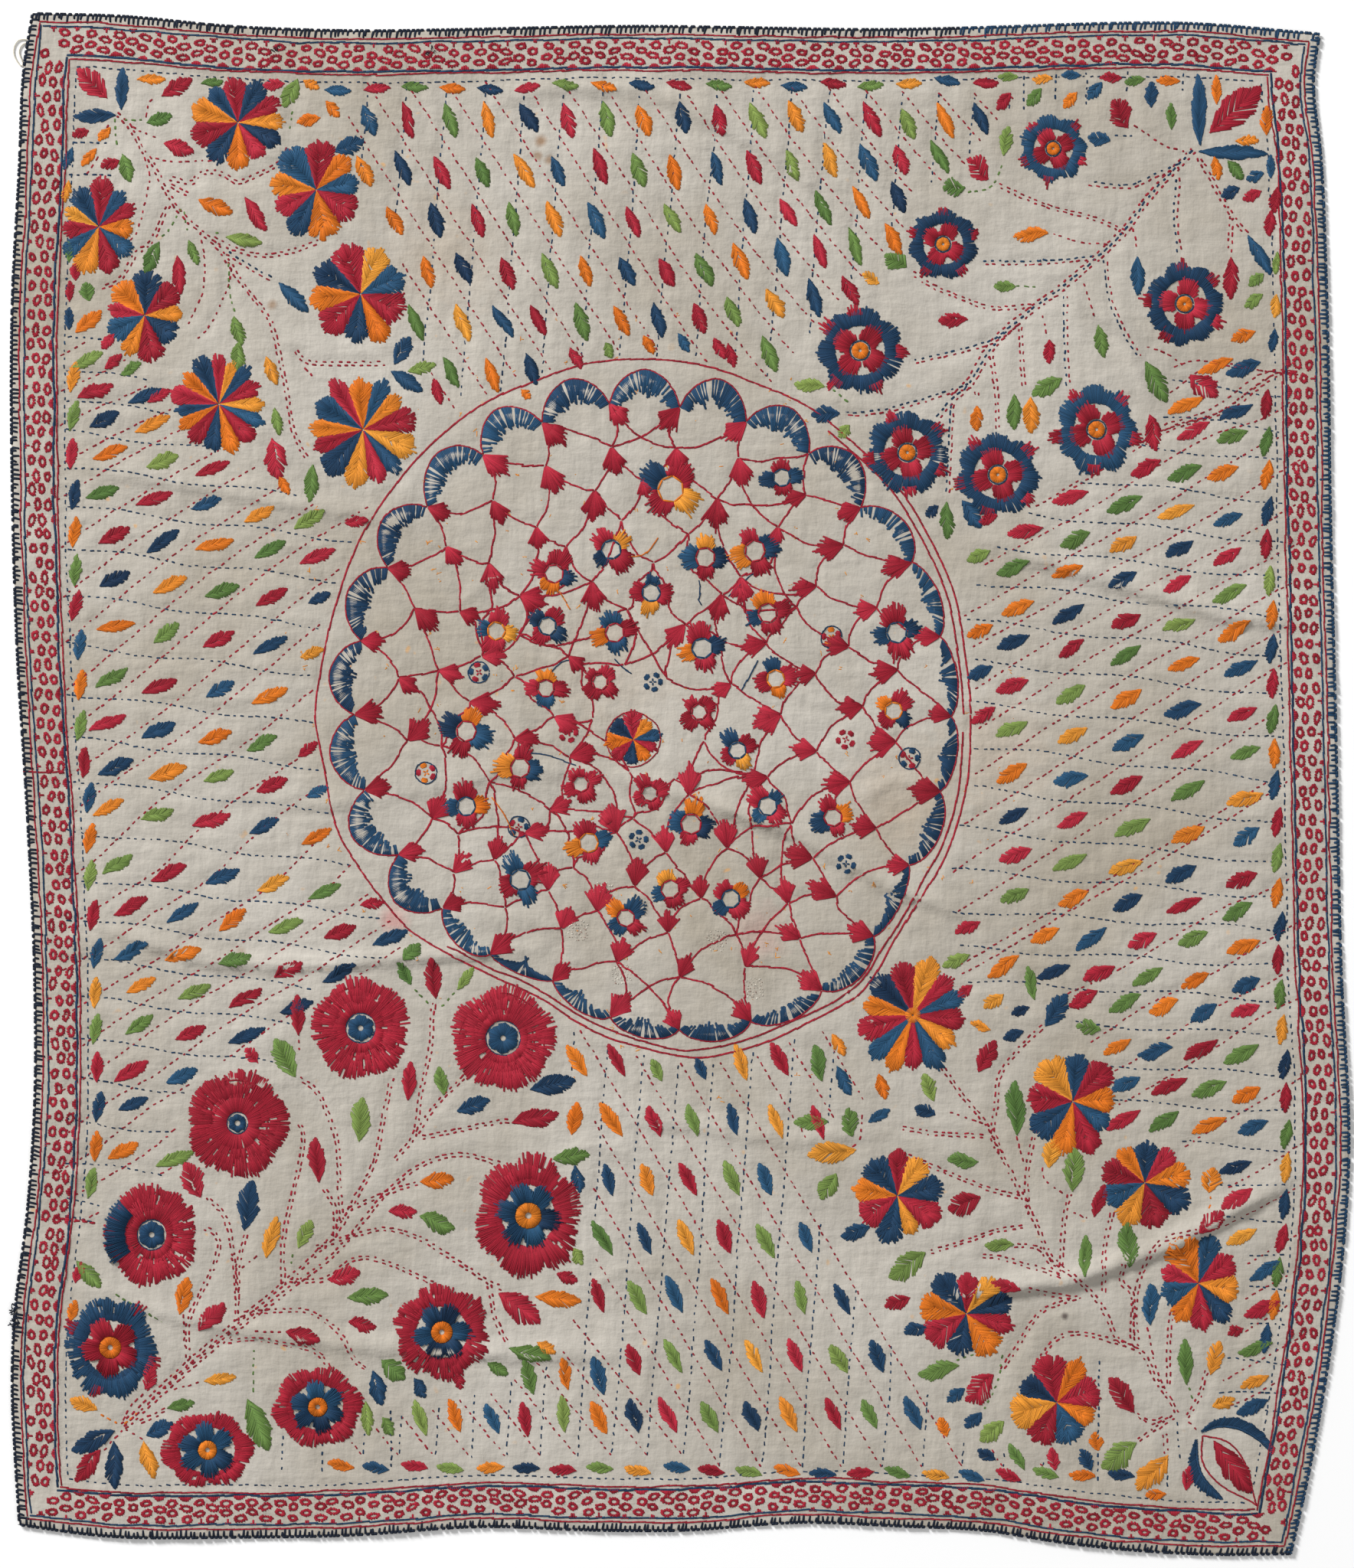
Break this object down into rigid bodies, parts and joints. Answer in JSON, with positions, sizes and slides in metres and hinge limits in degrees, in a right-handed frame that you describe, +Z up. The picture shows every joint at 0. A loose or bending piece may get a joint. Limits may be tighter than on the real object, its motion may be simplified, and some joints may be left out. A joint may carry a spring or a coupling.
{
  "type": "nakshi kantha",
  "caption": "Quilted cotton cover lying flat, embroidered with a round lotus medallion, four flowering corner trees, rows of leaves and a ring border, with a thread loop at one corner.",
  "frame": {"origin": "centre of the cover's box at its underside, on the surface it lies on", "axes": "+Z up out of the embroidered face; +Y towards the top edge of the cover; +X towards its right edge"},
  "size_m": [0.8392, 0.9668, 0.0072],
  "materials": {
    "old_cotton": "soft plain-woven old cotton, matt, slightly soiled",
    "cotton_thread": "matt off-white cotton thread",
    "red_thread": "soft embroidery cotton, low sheen",
    "blue_thread": "soft embroidery cotton, low sheen",
    "navy_thread": "soft embroidery cotton, low sheen",
    "orange_thread": "soft embroidery cotton, low sheen",
    "green_thread": "soft embroidery cotton, low sheen"
  },
  "bodies": {
    "root": {"kantha_cloth": "old_cotton", "hanging_loop": "cotton_thread"}
  },
  "joints": []
}
